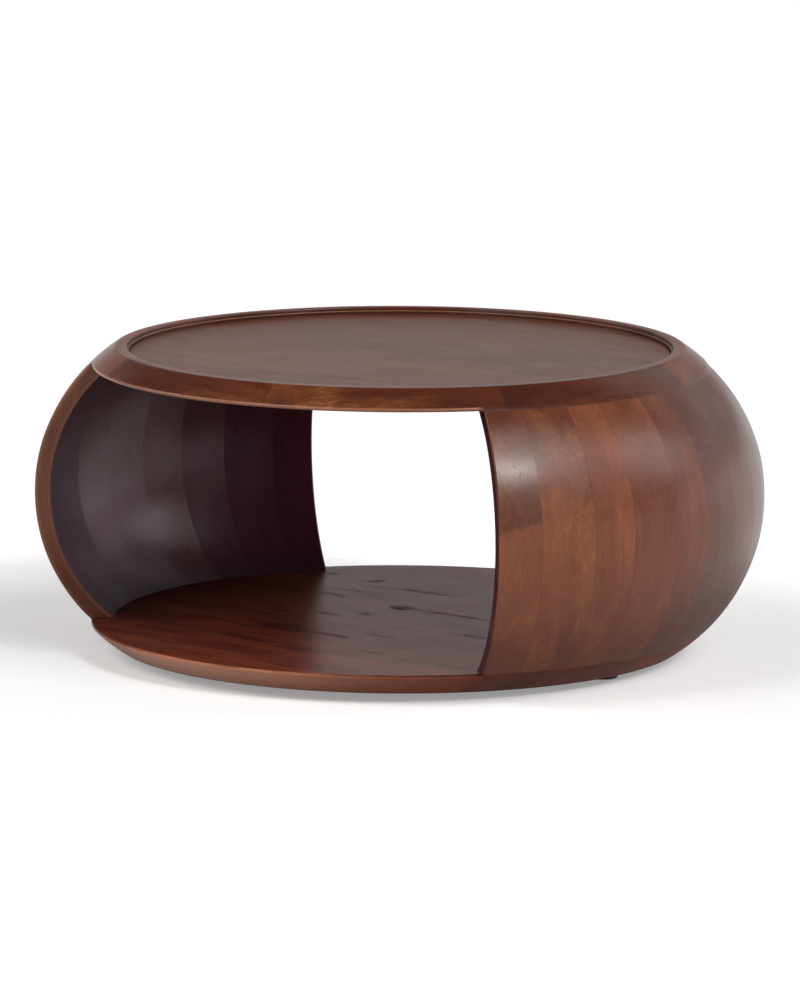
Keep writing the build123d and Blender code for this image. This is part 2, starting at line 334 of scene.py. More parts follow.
# reads where a piece lies in its log, its tone (stain with painted light and shade), where it is pale at
# an edge (rubbed wear, painted highlight and painted light), its distance from a joint, its share of
# golden figure, where its hollow side takes painted shade and where its lacquer is dull;
# marks are knots and dark streaks: x, y, half length, half width, strength
def stainedWood(name, values, marks=()):
    material, tree = newMaterial(name)
    log = addNode(tree, "Attribute", attribute_name="log").outputs["Vector"]
    tone, wornAndLit, seam, figure, hollow, dull = [
        addNode(tree, "Attribute", attribute_name=key).outputs["Fac"]
        for key in ("tone", "wornAndLit", "seam", "figure", "hollow", "dull")]

    # noise over the place in the log, stretched along the grain
    def grainNoise(cells, detail, distortion):
        stretched = addNode(tree, "VectorMath", (log, cells), operation="MULTIPLY")
        return addNode(tree, "TexNoise", {
            "Vector": stretched, "Scale": 1.0, "Detail": detail, "Distortion": distortion})

    # 0 to 1 over the parts of such a noise that lie between two levels
    def mask(cells, detail, distortion, first, last):
        noise = grainNoise(cells, detail, distortion)
        return addNode(tree, "MapRange", {"Value": noise, "From Min": first, "From Max": last},
                       interpolation_type="SMOOTHSTEP")

    total = 0.5 - sum(weight for _, _, weight in values["layers"]) / 2
    total = addNode(tree, "Math", (tone, total), operation="ADD")
    for cells, detail, weight in values["layers"]:
        fibre = grainNoise(cells, detail, values["layerDistortion"])
        total = addNode(tree, "Math", (fibre, weight, total), operation="MULTIPLY_ADD")
    colour = addNode(tree, "ValToRGB", (total,), values["ramp"])

    large, small = [
        addNode(tree, "Math", (
            grainNoise(cells, values["fleckDetail"], values["fleckDistortion"]), share),
            operation="MULTIPLY")
        for cells, share in values["flecks"]]
    flecks = addNode(tree, "Math", (large, small), operation="ADD")
    flecks = addNode(tree, "MapRange", {
        "Value": flecks, "From Min": values["fleckEnds"][0], "From Max": values["fleckEnds"][1]},
        interpolation_type="SMOOTHSTEP")
    flecks = addNode(tree, "Math", (flecks, values["fleckShare"], 1 - values["fleckShare"]),
                     operation="MULTIPLY_ADD")
    gold = addNode(tree, "Math", (mask(*values["patches"]), figure), operation="MULTIPLY")
    gold = addNode(tree, "Math", (gold, flecks), operation="MULTIPLY")
    gold = addNode(tree, "Math", (gold, values["goldenAmount"]), operation="MULTIPLY")

    # painted shade on a wall's hollow side
    inHollow = addNode(tree, "MapRange", {"Value": hollow, "From Min": 0.0, "From Max": 1.0},
                       interpolation_type="SMOOTHSTEP")
    inHollow = addNode(tree, "Math", (inHollow, values["hollowAmount"]), operation="MULTIPLY")
    # deeper painted shade along the hollow side's foot and head, where the hollow value passes 1
    footAndHeadShade = addNode(tree, "Math", (hollow, 1.0), operation="SUBTRACT")
    bright = addNode(tree, "Math", (1.0, dull), operation="SUBTRACT")
    streaks = addNode(tree, "Math", (mask(*values["streaks"]), bright), operation="MULTIPLY")
    streaks = addNode(tree, "Math", (streaks, values["streakAmount"]), operation="MULTIPLY")
    pores = mask(*values["pores"])
    inPores = addNode(tree, "Math", (pores, values["poreAmount"]), operation="MULTIPLY")
    # pale edges: rubbed wear on the staves, painted highlight on the rim's lower arris and step, painted
    # light on the shelf's edge
    rubbedAndLit = addNode(tree, "Math", (fibre, values["arrisStart"]), operation="ADD")
    rubbedAndLit = addNode(tree, "Math", (wornAndLit, rubbedAndLit), operation="MULTIPLY")
    glue = addNode(tree, "MapRange", {
        "Value": seam, "From Min": values["glueReach"][0], "From Max": values["glueReach"][1]})
    broken = addNode(tree, "Math", (fibre, values["glueAmount"]), operation="MULTIPLY")
    glue = addNode(tree, "Math", (glue, broken), operation="MULTIPLY")
    layers = [(gold, "golden"), (inHollow, "hollow"), (footAndHeadShade, "footAndHeadShade"), (streaks, "streak"),
              (inPores, "pore"), (rubbedAndLit, "arris"), (glue, "glue")]

    rough = values["roughness"] - values["fibreRoughness"] / 2
    for where, change in ((fibre, "fibreRoughness"), (pores, "poreRoughness"), (dull, "dullRoughness")):
        rough = addNode(tree, "Math", (where, values[change], rough), operation="MULTIPLY_ADD")
    height = addNode(tree, "Math", (pores, -values["poreDepth"], fibre), operation="MULTIPLY_ADD")
    if marks:
        spots = markSpots(tree, values, marks)
        spots = addNode(tree, "Math", (spots, mask(*values["breaks"])), operation="MULTIPLY")
        layers.append((spots, "mark"))
        rough = addNode(tree, "Math", (spots, values["markRoughness"], rough), operation="MULTIPLY_ADD")
        height = addNode(tree, "Math", (spots, -values["markDepth"], height), operation="MULTIPLY_ADD")
    for amount, layer in layers:
        colour = addNode(tree, "Mix", {0: amount, 6: colour, 7: fromHex(values[layer])},
                         data_type="RGBA")
    bump = addNode(tree, "Bump", {
        "Strength": values["bump"], "Distance": values["bumpDistance"], "Height": height})
    shader = addNode(tree, "BsdfPrincipled", {
        "Base Color": colour, "Roughness": rough, "Normal": bump, "IOR": values["ior"]})
    addNode(tree, "OutputMaterial", {"Surface": shader})
    return material


# the darkest of all marks at a place: each is an ellipse with a soft, wavering outline
def markSpots(tree, values, marks):
    here = addNode(tree, "TexCoord").outputs["Object"]
    scaled = addNode(tree, "VectorMath", (here, values["markCells"]), operation="MULTIPLY")
    waver = addNode(tree, "TexNoise", {"Vector": scaled, "Scale": 1.0, "Detail": values["markDetail"]})
    waver = addNode(tree, "VectorMath", (waver.outputs["Color"], (0.5, 0.5, 0.5)), operation="SUBTRACT")
    here = addNode(tree, "VectorMath", (waver, values["markWaver"], here), operation="MULTIPLY_ADD")
    darkest = None
    for x, y, length, width, strength in marks:
        offset = addNode(tree, "VectorMath", (here, (x, y, 0)), operation="SUBTRACT")
        offset = addNode(tree, "VectorMath", (offset, (1 / length, 1 / width, 0)), operation="MULTIPLY")
        distance = addNode(tree, "VectorMath", (offset,), operation="LENGTH")
        spot = addNode(tree, "MapRange", {
            "Value": distance, "From Min": values["markCore"], "From Max": 1.0,
            "To Min": strength, "To Max": 0.0}, interpolation_type="SMOOTHSTEP")
        darkest = addNode(tree, "Math", (darkest, spot), operation="MAXIMUM") if darkest else spot
    return darkest


woodFinish = stainedWood("stained mango wood under satin lacquer", wood)
print("wood ready")


staves = {
    "wallThickness": 0.020,
    "outerArris": 0.0028,     # rounding of a wall's upright outer edges
    "innerArris": 0.0020,
    "rubbedArris": {"rightStave1": 0.0016},   # ends rounded otherwise than the rest
    "rowHeight": 0.0045,
    "columns": 9,             # over half a stave's width
    "lastColumn": 0.985,      # of the half width: keeps the joint's shading narrow
    "arrisSteps": 7,
    "sideSteps": 6,
    "outerFlat": 0.22,        # 0 is one smooth round, 1 leaves each stave flat
    "innerFlat": 0.30,
    "flatFade": 0.045,        # the flats die out this far from base and rim
    "toneSpread": 0.03,
    # each stave's stain; on the right wall also painted light, lighter towards the front and darker
    # round the side
    "tones": {
        "rightStave1": 0.18, "rightStave2": 0.16, "rightStave3": 0.16, "rightStave4": 0.10,
        "rightStave5": 0.02, "rightStave6": -0.09, "rightStave7": -0.11, "rightStave8": -0.12,
        "rightStave9": -0.12,
    },
    "upperTone": (0.21, 0.31, -0.08),   # painted shade: darker towards the rim: from, to, change
    "upperTones": {"rightStave1": -0.20, "rightStave2": -0.20},
    "lowerTone": (0.18, 0.05, -0.16),   # and painted shade towards the base
    "dullBelow": (0.17, 0.04),          # the lacquer is duller low down: where that begins and ends
    "endTones": {"rightStave1": -0.55, "leftStave8": 0.16},   # the upright end faces: painted shade on the right wall's front end, lighter on the left wall's
    "endFace": (0.10, 0.18),            # shares of the thickness where an end face begins and is full
    "endHollows": {"rightStave1": 0.4},   # end faces given the hollow side's painted shade
    "hollowFrom": 0.88,                 # share of the thickness where the hollow side begins
    # painted light on the hollow side, stave by stave
    "hollowTones": {"leftStave3": 0.15, "leftStave4": 0.45, "leftStave5": 0.45, "leftStave6": 0.35},
    "figures": {"rightStave1": 0.6, "rightStave2": 1.0, "rightStave3": 0.8},
    "figure": 0.4,
    "pith": (0.05, 0.04, 0.16),         # spread across, nearest and farthest behind the face
    "logDepth": 0.6,                    # how much of the bulge's depth shows in the figure
    # a lap in the stain across one stave: its height, how it slopes, how soft its lower side is,
    # how far up it fades, by what share, and how much darker it is
    "stainLine": {"rightStave1": (0.2224, 0.26, 0.003, 0.080, 0.7, 0.26)},
    "wear": 0.20,                 # how far the arrises are rubbed pale
    "footShade": (0.035, 0.85),   # painted shade on the hollow side along the foot: reach, amount
    "headShade": (0.030, 0.60),   # and along the head
    "endSeam": 0.0004,            # added to the distance from base and rim, for a fainter glue line
}


# half of a stave's outline in plan, from the middle of the outer face round to that of the inner one,
# with quarter circles for the arrises: share of the half width, inset from the side in metres,
# depth from the outside in metres, and 1 on an arris
def halfStave(outerArris, innerArris):
    thickness = staves["wallThickness"]
    face = np.append(np.linspace(0, 1, staves["columns"], endpoint=False), staves["lastColumn"])
    turn = np.linspace(0, np.pi / 2, staves["arrisSteps"]) if outerArris else np.zeros(1)
    depth = np.linspace(outerArris, thickness - innerArris, staves["sideSteps"])[1:-1]
    rise, fall = 1 - np.cos(turn), 1 - np.sin(turn)
    share = np.r_[face, np.ones(2 * len(turn) + len(depth)), face[::-1]]
    inset = np.r_[face * outerArris, fall * outerArris, 0 * depth, rise * innerArris,
                  face[::-1] * innerArris]
    deep = np.r_[0 * face, rise * outerArris, depth, thickness - fall * innerArris, 0 * face + thickness]
    onArris = np.r_[0 * face, 0 * turn + (outerArris > 0), 0 * depth, 0 * turn + (innerArris > 0),
                    0 * face]
    return np.stack([share, inset, deep, onArris])


# a stave: its plan outline carried up the bulged arc from base to rim, cut level at both ends;
# a flat pulls the radius towards radius * cos(half) / cos(angle), the straight line between the joints
def makeStave(name, node, roundStart, roundEnd):
    start, end = nodeSweep(node)
    middle, half = (start + end) / 2, (end - start) / 2
    arrises = staves["rubbedArris"].get(name, staves["outerArris"]), staves["innerArris"]
    right = halfStave(*(arrises if roundEnd else (0, 0)))
    left = halfStave(*(arrises if roundStart else (0, 0)))[:, ::-1]
    left[:2] *= -1
    share, inset, depth, onArris = np.concatenate([right, left[:, 1:-1]], axis=1)
    up = np.linspace(0, 1, int((rimBottom - baseTop) / staves["rowHeight"]))[:, None]
    low, high = shellTurn(baseTop, depth), shellTurn(rimBottom, depth)
    turn = low + (high - low) * up
    z = midHeight + (arcRadius - depth) * np.sin(turn)
    radius = arcCentre + (arcRadius - depth) * np.cos(turn)
    angle = share * half - inset / radius
    inward = depth / staves["wallThickness"]
    fromEnd = np.minimum(z - baseTop, rimBottom - z)
    outerFlat = staves["outerFlat"] * easeBetween(fromEnd, 0, staves["flatFade"])
    flat = outerFlat * (1 - inward) + staves["innerFlat"] * inward
    radius = radius * (1 + flat * (np.cos(half) / np.cos(angle) - 1))
    radius = radius + hills(turned(radius, middle + angle, z))

    across = radius * np.sin(angle)
    through = radius * np.cos(angle) - tableRadius
    isWallEnd = np.where(share > 0, roundEnd, roundStart)
    toSide = (1 - np.abs(share)) * half * radius + isWallEnd
    endFace = (np.abs(share) == 1) * isWallEnd * easeBetween(inward, *staves["endFace"])
    # the hollow side, which takes painted shade
    hollow = easeBetween(inward, staves["hollowFrom"], 1.0)
    # besides the stain, the tone carries painted shade towards rim and base and on the right wall's
    # front end, and painted light on the hollow side
    upperStart, upperEnd, change = staves["upperTone"]
    tone = toneOf(name, staves)
    tone = tone + staves["upperTones"].get(name, change) * easeBetween(z, upperStart, upperEnd)
    lowerStart, lowerEnd, change = staves["lowerTone"]
    tone += change * easeBetween(-z, -lowerStart, -lowerEnd)
    tone += staves["endTones"].get(name, 0) * endFace + staves["hollowTones"].get(name, 0) * hollow
    if name in staves["stainLine"]:
        level, slope, softness, fade, faded, change = staves["stainLine"][name]
        above = z - level - slope * across
        lasting = 1 - faded * easeBetween(above, 0, fade)
        tone -= change * easeBetween(above, -softness, softness) * lasting
    # painted shade along the hollow side's foot and head
    footReach, footAmount = staves["footShade"]
    headReach, headAmount = staves["headShade"]
    footAndHeadShade = footAmount * np.exp((baseTop - z) / footReach)
    footAndHeadShade += headAmount * np.exp((z - rimBottom) / headReach)
    dullStart, dullEnd = staves["dullBelow"]
    values = {
        "log": logPlace(z, across, through * staves["logDepth"], pithBehind(*staves["pith"])),
        "tone": tone,
        "wornAndLit": onArris * staves["wear"] * (name not in staves["endHollows"]),
        "dull": (1 - hollow) * easeBetween(-z, -dullStart, -dullEnd),
        "hollow": np.maximum(hollow * (1 + footAndHeadShade), endFace * staves["endHollows"].get(name, 0)),
        "figure": staves["figures"].get(name, staves["figure"]),
        "seam": np.minimum(toSide, fromEnd + staves["endSeam"]),
    }
    rings = turned(radius, middle + angle, z)
    place(skinOf(name, rings, values), node, woodFinish)


for side, count in (("right", 9), ("left", 8)):
    for i in range(1, count + 1):
        makeStave(f"{side}Stave{i}", f"{side}_stave_{i}", i == 1, i == count)
print("staves ready")


# the two walls' outer ends, for the arrises that stop where a wall stands on them
wallEnds = [nodeSweep("right_stave_1")[0], nodeSweep("right_stave_9")[1]]
wallHalf = (wallEnds[1] - wallEnds[0]) / 2


# 1 in the openings, 0 where a wall stands, with a straight change between them at the wall's end
def openness(angle):
    fromWall = np.abs((angle + np.pi / 2) % np.pi - np.pi / 2)
    return np.clip((fromWall - wallHalf) / table["arrisFade"] + 0.5, 0, 1)


boards = {
    "row": 0.0045,
    "column": 0.009,
    "underColumn": 0.05,
    "edgeRows": 9,
    "edgeMargins": (0.005, 0.004),   # from the base's upper and lower face to the first and last
    "outermost": 0.002,        # a board that comes this near the disc's edge ends in the edge
    "hillShare": 0.6,          # a flat face is sanded flatter than the bulge
    "baseArris": 0.0022,
    "baseUnderArris": 0.0015,
    "topArris": 0.0008,
    "topLap": 0.025,
    "topLapThickness": 0.006,
    "topLapArris": 0.0006,
    "toneSpread": 0.035,
    # each board's stain, and partly painted light: the boards towards the middle are lighter
    "tones": {
        "baseBoard1": 0.03, "baseBoard2": 0.02, "baseBoard3": 0.07, "baseBoard4": 0.12,
        "baseBoard5": 0.14,
    },
    "shelfSlope": 0.18,        # change of tone per metre from the left wall to the right: painted light, lighter towards the right
    "figure": 0.15,
    "pith": (0.04, 0.03, 0.12),   # spread across, nearest and farthest behind the face
    # where the boards' finish differs from the walls'
    "shelfWood": {
        "ior": 1.29, "bump": 0.22,
        "streakAmount": 0.70, "streaks": ((9, 150, 45), 2.0, 0.4, 0.50, 0.68),
        "ramp": [(0.0, "#220A07"), (0.28, "#42170F"), (0.50, "#602A1A"), (0.72, "#7F3F28"),
                 (1.0, "#AD6C45")],
    },
    "topWood": {
        "ior": 1.32,
        "streakAmount": 0.45, "streaks": ((7, 170, 40), 2.0, 0.4, 0.50, 0.68),
        "ramp": [(0.0, "#220E09"), (0.28, "#401E12"), (0.50, "#5A3120"), (0.72, "#724430"),
                 (1.0, "#96654A")],
    },
    # changes of tone on the shelf's edge: open and rubbed (painted light), under a wall (painted shade),
    # and on the open upper arris
    "openEdgeTone": 0.06,
    "rubbedAndLitEdgeTone": 0.28,
    "walledEdgeTone": -0.10,
    "openArrisTone": -0.40,
    "edgeWearAndLight": 0.95,          # the shelf's edge is paler in the middle of each opening: rubbed wear and painted light
    "arrisWearAndLight": 0.28,
    "edgeFade": 6,             # the power of y that it fades with
    "cornerTone": -0.32,       # painted shade on the shelf along the left wall's foot
    "cornerReach": 0.12,
    "cornerSpan": (0.68, 0.90),   # cosine of the angle from -X where that begins and is full
    "axisGuard": 0.01,         # the least radius that cosine is worked out with
    # knots of the shelf: x, y, half length, half width, strength
    "knots": [
        (-0.181, 0.190, 0.017, 0.012, 0.7), (-0.040, 0.058, 0.026, 0.017, 1.0),
        (-0.053, -0.002, 0.014, 0.009, 0.6), (0.026, -0.146, 0.012, 0.008, 0.5),
        (-0.258, 0.199, 0.012, 0.008, 0.5), (0.215, -0.060, 0.012, 0.007, 0.4),
    ],
    # dark streaks along the grain, some of which run out of the knots
    "streaks": [
        (-0.085, 0.165, 0.070, 0.009, 0.50), (0.040, 0.058, 0.100, 0.008, 0.45),
        (0.145, 0.045, 0.060, 0.007, 0.35), (-0.164, 0.081, 0.034, 0.008, 0.40),
        (0.147, -0.041, 0.050, 0.008, 0.35), (-0.005, -0.140, 0.055, 0.009, 0.40),
        (-0.150, 0.156, 0.040, 0.007, 0.35), (0.111, -0.199, 0.030, 0.008, 0.30),
        (-0.095, -0.030, 0.030, 0.008, 0.35), (-0.165, 0.115, 0.035, 0.007, 0.30),
        (0.060, -0.110, 0.050, 0.007, 0.25), (-0.230, 0.030, 0.045, 0.008, 0.30),
    ],
    "knotReach": (0.045, 0.016),   # how far round a knot the grain gives way, along and across
    "knotSwell": 0.006,
}
shelfFinish = stainedWood("stained knotty mango wood under satin lacquer",
                          dict(wood, **boards["shelfWood"]), boards["knots"] + boards["streaks"])
topFinish = stainedWood("stained flat-sawn mango wood under satin lacquer",
                        dict(wood, **boards["topWood"]))


# the grain swells round each knot: a sum of bells, along and across
def knotSwell(x, y):
    along, across = boards["knotReach"]
    swell = 0 * x
    for knotX, knotY, _, _, strength in boards["knots"]:
        swell += strength * np.exp(-((x - knotX) / along) ** 2 - ((y - knotY) / across) ** 2)
    return swell * boards["knotSwell"]


wallFoot = shellRadius(baseTop) - staves["wallThickness"]


# a board of a round disc: rows across it from one joint to the next, each row running
# over the face, down the disc's edge, back underneath and up the other edge;
# a point of the edge lies at y = radius * sin(turn) and x = sqrt(radius ** 2 - y ** 2)
def makeBoard(name, node, openEdge, walledEdge, finish):
    pith = pithBehind(*boards["pith"])
    isShelf = finish is shelfFinish
    low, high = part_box(node)
    nominal = openEdge[:, 0]
    reach = nominal.max()
    isFirst, isLast = low.y <= boards["outermost"] - reach, high.y >= reach - boards["outermost"]
    turnFrom = np.arcsin(np.clip((-1 if isFirst else low.y) / nominal, -1, 1))
    turnTo = np.arcsin(np.clip((1 if isLast else high.y) / nominal, -1, 1))
    rowCount = int(max(high.y - low.y, reach * (turnTo[0] - turnFrom[0]) / 2) / boards["row"])
    turn = turnFrom + (turnTo - turnFrom) * np.linspace(0, 1, rowCount)[:, None]
    isOpen = openness(turn)
    radius, edgeZ = blended(openEdge, walledEdge, isOpen)
    edgeY = nominal * np.sin(turn)
    edgeX = np.sqrt(np.maximum(radius ** 2 - edgeY ** 2, 0)) * (np.cos(turn) > table["weld"])

    # straight from side to side through the k-th point of the edge, at these shares of its x
    def flatRow(shares, k):
        across = edgeX[:, k, None] * shares
        return np.stack(np.broadcast_arrays(across, edgeY[:, k, None], edgeZ[:, k, None]), axis=-1)

    upper = flatRow(np.linspace(-1, 1, int(2 * reach / boards["column"]))[1:-1], 0)
    under = flatRow(np.linspace(1, -1, int(2 * reach / boards["underColumn"]))[1:-1], -1)
    edge = np.stack([edgeX, edgeY, edgeZ], axis=-1)
    otherEdge = np.stack([-edgeX, edgeY, edgeZ], axis=-1)[:, ::-1]
    rings = np.concatenate([upper, edge, under, otherEdge], axis=1)
    faceCount, edgeCount = upper.shape[1], edge.shape[1]
    rings[:, :faceCount, 2] += hills(rings)[:, :faceCount] * boards["hillShare"]

    x, y, z = np.moveaxis(rings, -1, 0)
    grain = logPlace(x, y - (low.y + high.y) / 2, z - high.z, pith)
    tone = toneOf(name, boards)
    onEdge = np.zeros(rings.shape[1])
    onEdge[faceCount:faceCount + edgeCount] = 1
    onEdge[-edgeCount:] = 1
    isOpen = isOpen[:, :1]
    # the shelf's edge paler towards the middle of each opening: rubbed wear and painted light
    rubbedAndLit = onEdge * (np.abs(y) / reach) ** boards["edgeFade"] * isShelf
    onArris = isShelf * onEdge * isOpen * (z > high.z - boards["baseArris"])
    if isShelf:
        grain[..., 1] += knotSwell(x, y)
        # painted light on the open and rubbed edge, painted shade on the edge under a wall
        edgeTone = isOpen * (boards["openEdgeTone"] + boards["rubbedAndLitEdgeTone"] * rubbedAndLit)
        edgeTone = edgeTone + (1 - isOpen) * boards["walledEdgeTone"]
        edgeTone = edgeTone + boards["openArrisTone"] * onArris * (1 - rubbedAndLit)
        # painted shade along the left wall's foot, painted light towards the right
        fromAxis = np.hypot(x, y)
        nearWall = easeBetween(-x / np.maximum(fromAxis, boards["axisGuard"]), *boards["cornerSpan"])
        nearWall = nearWall * np.exp(-np.abs(wallFoot - fromAxis) / boards["cornerReach"])
        faceTone = boards["cornerTone"] * nearWall + boards["shelfSlope"] * x
        tone = tone + onEdge * edgeTone + (1 - onEdge) * faceTone
    values = {
        "log": grain,
        "tone": tone,
        "wornAndLit": rubbedAndLit * (boards["edgeWearAndLight"] + (boards["arrisWearAndLight"] - boards["edgeWearAndLight"]) * onArris),
        "hollow": 0.0,
        "dull": isShelf * onEdge * (1 - rubbedAndLit) * (1 - onArris),
        "figure": boards["figure"],
        "seam": np.minimum(np.abs(y - low.y) + isFirst, np.abs(high.y - y) + isLast),
    }
    place(skinOf(name, rings, values), node, finish)


# the base's edge from its upper face down: the bulged arc between two rounded arrises
def baseEdge(arris):
    fromTop, fromBottom = boards["edgeMargins"]
    heightsDown = np.linspace(baseTop - fromTop, baseBottom + fromBottom, boards["edgeRows"])
    corners = [(0, baseTop), (shellRadius(baseTop), baseTop)]
    corners += [(shellRadius(z), z) for z in heightsDown]
    corners += [(shellRadius(baseBottom), baseBottom), (0, baseBottom)]
    radii = [None, arris] + [None] * len(heightsDown) + [boards["baseUnderArris"], None]
    return roundedOutline(corners, radii)[1:-1]


openEdge, walledEdge = baseEdge(boards["baseArris"]), baseEdge(table["sharpArris"])
for i in range(1, 8):
    makeBoard(f"baseBoard{i}", f"base_board_{i}", openEdge, walledEdge, shelfFinish)

panelReach = max(nodePoints("top_board_4")[:, 0])
lapReach = panelReach - boards["topLap"]
lapTop = rimBottom + boards["topLapThickness"]
panelEdge = roundedOutline(
    [(0, panelTop), (panelReach, panelTop), (panelReach, lapTop), (lapReach, lapTop),
     (lapReach, rimBottom), (0, rimBottom)],
    [None, boards["topArris"], None, None, boards["topLapArris"], None])[1:-1]
for i in range(1, 8):
    makeBoard(f"topBoard{i}", f"top_board_{i}", panelEdge, panelEdge, topFinish)
print("boards ready")


rim = {
    "flatWidth": 0.014,
    "stepDrop": 0.004,
    "stepWidth": 0.0025,
    "lapWidth": 0.025,
    "shoulderRound": 0.004,
    "innerRound": 0.0015,
    "stepRound": 0.0005,
    "lapRounds": (0.0005, 0.0006),   # the lap's upper and lower arris
    "underRound": 0.0024,
    "column": 0.005,
    "nearJoint": 0.998,        # of the half length: keeps the joint's shading narrow
    "edgeRows": 8,
    "edgeMargins": (0.005, 0.006),   # from the rim's lower and upper face to the first and last
    "stepRow": 0.0012,         # a row this far below the step, for the same reason
    "hillFade": 0.002,         # the hills die out this far either side of the flat's outer edge
    "toneSpread": 0.03,
    # evenly spaced from a segment's first joint to its last
    "tonesAlong": {
        "rimSegment6": (-0.18, -0.17, -0.11), "rimSegment7": (-0.11, -0.08, -0.13, -0.18, -0.19),
        "rimSegment8": (-0.20, -0.16, -0.14), "rimSegment1": (-0.12, -0.10, -0.06),
    },
    "insideTone": -0.32,       # painted shade: the wall inside the rim, round the inset top, is darker
    "insideFade": (-0.0006, -0.0002),   # inwards from the flat's inner edge: where that begins, is full
    "figure": (0.3, 0.3, 0.3),
    "figures": {
        "rimSegment6": (0.3, 0.4, 1.2), "rimSegment7": (1.2, 1.7, 1.4, 0.3, 0.1),
        "rimSegment8": (0.1, 0.2, 0.3),
    },
    "pith": (0.03, 0.02, 0.09),   # spread up and down, nearest and farthest inwards
    "wear": 0.34,              # painted highlight on the lower arris in the openings
    # painted highlight on the step's edge
    "stepHighlight": 0.4,
    "stepArris": (0.0007, 0.002),   # its points: this near the step's height, this far in from the flat
}


# the rim's closed outline: from the bulge's lower arris up its arc, over the flat, down the stepped
# rebate that takes the inset top and back along the underside
def rimOutline(underRound):
    inner = endRadius - rim["flatWidth"]
    step = inner - rim["stepWidth"]
    lap = step - rim["lapWidth"]
    stepTop = rimTop - rim["stepDrop"]
    fromBottom, fromTop = rim["edgeMargins"]
    heightsUp = np.linspace(rimBottom + fromBottom, rimTop - fromTop, rim["edgeRows"])
    corners = [(shellRadius(rimBottom), rimBottom)] + [(shellRadius(z), z) for z in heightsUp]
    corners += [(endRadius, rimTop), (inner, rimTop), (inner, stepTop), (step, stepTop),
                (step, stepTop - rim["stepRow"]), (step, lapTop), (lap, lapTop), (lap, rimBottom)]
    radii = [underRound] + [None] * len(heightsUp)
    radii += [rim["shoulderRound"], rim["innerRound"], None, rim["stepRound"], None, None]
    radii += rim["lapRounds"]
    return roundedOutline(corners, radii)


# a rim segment: the outline turned about the table's axis
def makeRimSegment(name, node):
    start, end = nodeSweep(node)
    middle, half = (start + end) / 2, (end - start) / 2
    evenly = np.linspace(-1, 1, int(half * 2 * endRadius / rim["column"]))[1:-1]
    share = np.r_[-1, -rim["nearJoint"], evenly, rim["nearJoint"], 1][:, None]
    angle = middle + half * share
    isOpen = openness(angle)
    radius, z = blended(rimOutline(rim["underRound"]), rimOutline(table["sharpArris"]), isOpen)
    hilly = np.clip((radius - endRadius + rim["hillFade"]) / (2 * rim["hillFade"]), 0, 1)
    radius = radius + hills(turned(radius, angle, z)) * hilly
    along, across = radius * np.sin(angle - middle), radius * np.cos(angle - middle) - endRadius

    def alongSegment(key, usual):
        levels = rim[key].get(name, usual)
        return np.interp(share, np.linspace(-1, 1, len(levels)), levels)

    innerEdge = endRadius - rim["flatWidth"]
    inside = easeBetween(innerEdge - radius, *rim["insideFade"])
    nearStep, fromFlat = rim["stepArris"]
    onStep = inside * (np.abs(z - rimTop + rim["stepDrop"]) < nearStep) * (radius < innerEdge - fromFlat)
    onUnderRound = np.arange(radius.shape[1]) < table["cornerSteps"]
    values = {
        "log": logPlace(along, z - rimTop, across, pithBehind(*rim["pith"])),
        # the tone takes painted shade on the wall inside the rim
        "tone": toneOf(name, rim) + alongSegment("tonesAlong", (0, 0)) + rim["insideTone"] * inside,
        # painted highlight on the lower arris in the openings and on the step's edge
        "wornAndLit": onUnderRound * isOpen * rim["wear"] + rim["stepHighlight"] * onStep,
        "hollow": 0.0,
        "dull": 0.0,
        "figure": alongSegment("figures", rim["figure"]),
        "seam": (1 - np.abs(share)) * half * radius,
    }
    place(skinOf(name, turned(radius, angle, z), values), node, woodFinish)


for i in range(1, 9):
    makeRimSegment(f"rimSegment{i}", f"rim_segment_{i}")
print("rim ready")


foot = {
    "lowerRound": 0.0015,
    "upperRound": 0.0006,
    "mouthRound": 0.0004,
    "pocketRadius": 0.00505,
    "pocketDepth": 0.005,
    "boreRadius": 0.0021,
    "sides": 72,
    "colour": "#101011",
    "roughness": 0.5,
    "roughnessSpread": 0.2,
    "grainCells": 1000.0,      # per metre
    "grainDetail": 2.0,
    "bump": 0.15,
    "bumpDistance": 0.0003,
}


# black moulded plastic: an even satin black with a fine spark-eroded texture, drawn at 1 mm,
# coarser than the real one
def mouldedPlastic(name, values):
    material, tree = newMaterial(name)
    here = addNode(tree, "TexCoord").outputs["Object"]
    grain = addNode(tree, "TexNoise", {
        "Vector": here, "Scale": values["grainCells"], "Detail": values["grainDetail"]})
    spread = values["roughnessSpread"]
    rough = addNode(tree, "Math", (grain, spread, values["roughness"] - spread / 2),
                    operation="MULTIPLY_ADD")
    bump = addNode(tree, "Bump", {
        "Strength": values["bump"], "Distance": values["bumpDistance"], "Height": grain})
    shader = addNode(tree, "BsdfPrincipled", {
        "Base Color": fromHex(values["colour"]), "Roughness": rough, "Normal": bump})
    addNode(tree, "OutputMaterial", {"Surface": shader})
    return material


plasticFinish = mouldedPlastic("black moulded plastic", foot)


# a foot: its closed outline, pocket and bore included, turned about its own axis
def makeFoot(name, node):
    low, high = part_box(node)
    centre, reach = (low + high) / 2, (high.x - low.x) / 2
    pocket, bore, pocketTop = foot["pocketRadius"], foot["boreRadius"], low.z + foot["pocketDepth"]
    outline = roundedOutline(
        [(pocket, low.z), (reach, low.z), (reach, high.z), (bore, high.z), (bore, pocketTop),
         (pocket, pocketTop)],
        [foot["mouthRound"], foot["lowerRound"], foot["upperRound"], None, None, None])
    turn = np.linspace(0, 2 * np.pi, foot["sides"], endpoint=False)[:, None]
    rings = turned(outline[:, 0], turn, outline[:, 1]) + (centre.x, centre.y, 0)
    place(skinOf(name, rings, {}, closed=True), node, plasticFinish)


for i in range(1, 5):
    makeFoot(f"foot{i}", f"foot_{i}")


